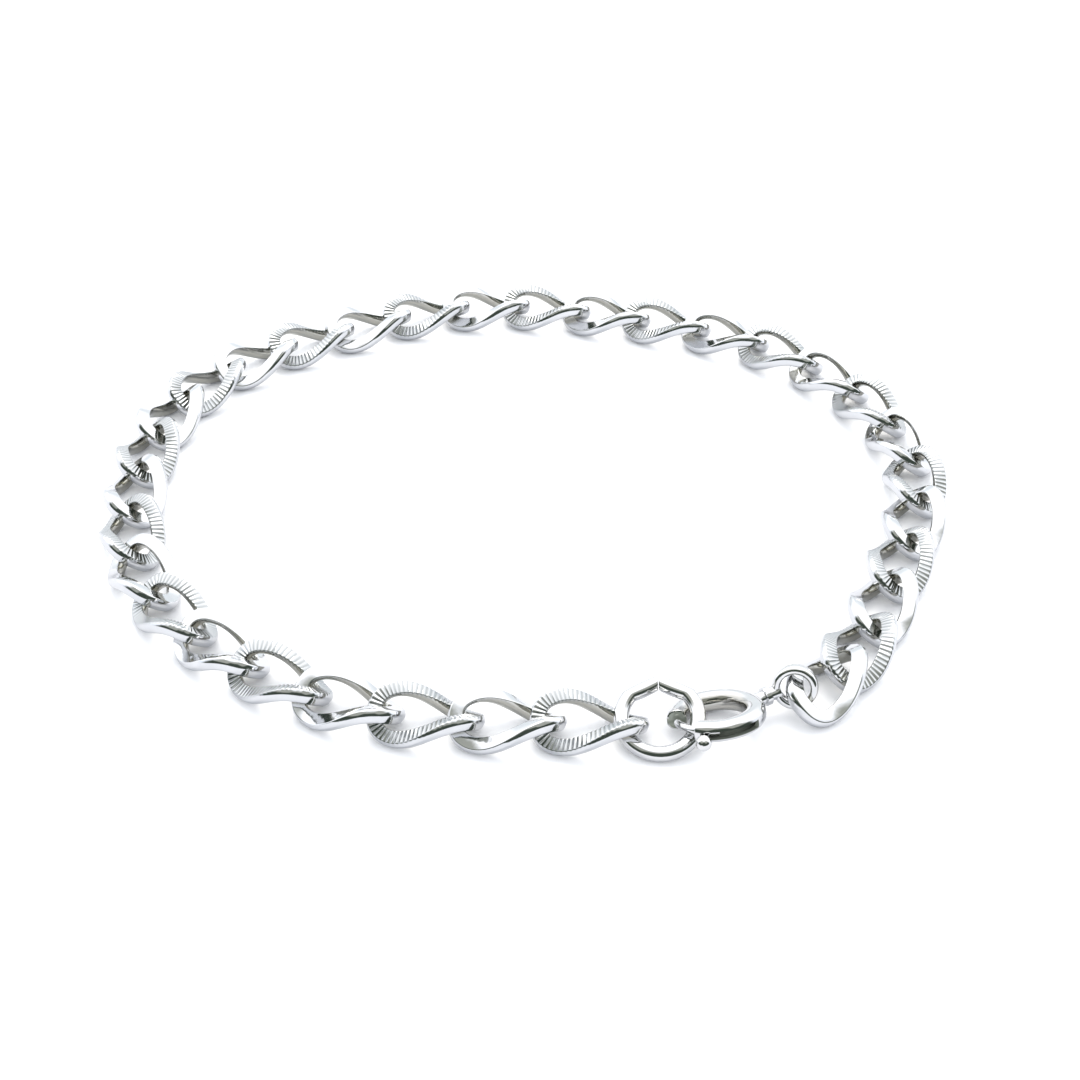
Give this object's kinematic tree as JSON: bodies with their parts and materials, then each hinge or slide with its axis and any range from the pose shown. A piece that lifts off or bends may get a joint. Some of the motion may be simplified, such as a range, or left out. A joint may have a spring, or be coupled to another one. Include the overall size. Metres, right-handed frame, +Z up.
{
  "type": "curb link bracelet",
  "caption": "Flat twisted curb-link bracelet in polished silver, plain and cross-ribbed links in turn, closed by a bolt ring hooked into a loop ring.",
  "frame": {"origin": "middle of the bracelet's plan, on the surface that it lies on", "axes": "+Z up off the surface, +X along the longer way across the oval, -Y towards the side with the clasp"},
  "size_m": [0.0674, 0.0629, 0.0038],
  "materials": {
    "plain_link": "polished silver, rhodium plated",
    "ribbed_link": "polished silver, rhodium plated, fine cross ribs on the upper face",
    "ring_wire": "polished silver wire",
    "clasp_silver": "polished silver, formed tube"
  },
  "bodies": {
    "root": {"link_01": "ribbed_link", "link_02": "plain_link", "link_03": "ribbed_link", "link_04": "plain_link", "link_05": "ribbed_link", "link_06": "plain_link", "link_07": "ribbed_link", "link_08": "plain_link", "link_09": "ribbed_link", "link_10": "plain_link", "link_11": "ribbed_link", "link_12": "plain_link", "link_13": "ribbed_link", "link_14": "plain_link", "link_15": "ribbed_link", "link_16": "plain_link", "link_17": "ribbed_link", "link_18": "plain_link", "link_19": "ribbed_link", "link_20": "plain_link", "link_21": "ribbed_link", "link_22": "plain_link", "link_23": "ribbed_link", "link_24": "plain_link", "link_25": "ribbed_link", "link_26": "plain_link", "link_27": "ribbed_link", "link_28": "plain_link", "link_29": "ribbed_link", "link_30": "plain_link", "link_31": "ribbed_link", "link_32": "plain_link", "loop_ring": "ring_wire", "clasp_body": "clasp_silver"},
    "bolt": {"clasp_bolt": "clasp_silver"}
  },
  "joints": [
    {"name": "bolt_slide", "type": "hinge", "parent": "root", "child": "bolt", "pos_m": [0.01316, -0.02703, 0.00178], "axis": [-0.1396, 0.3289, 0.934], "range_deg": [0, 41], "stiffness_Nm_per_rad": 0.003, "springref_deg": -17.19}
  ]
}
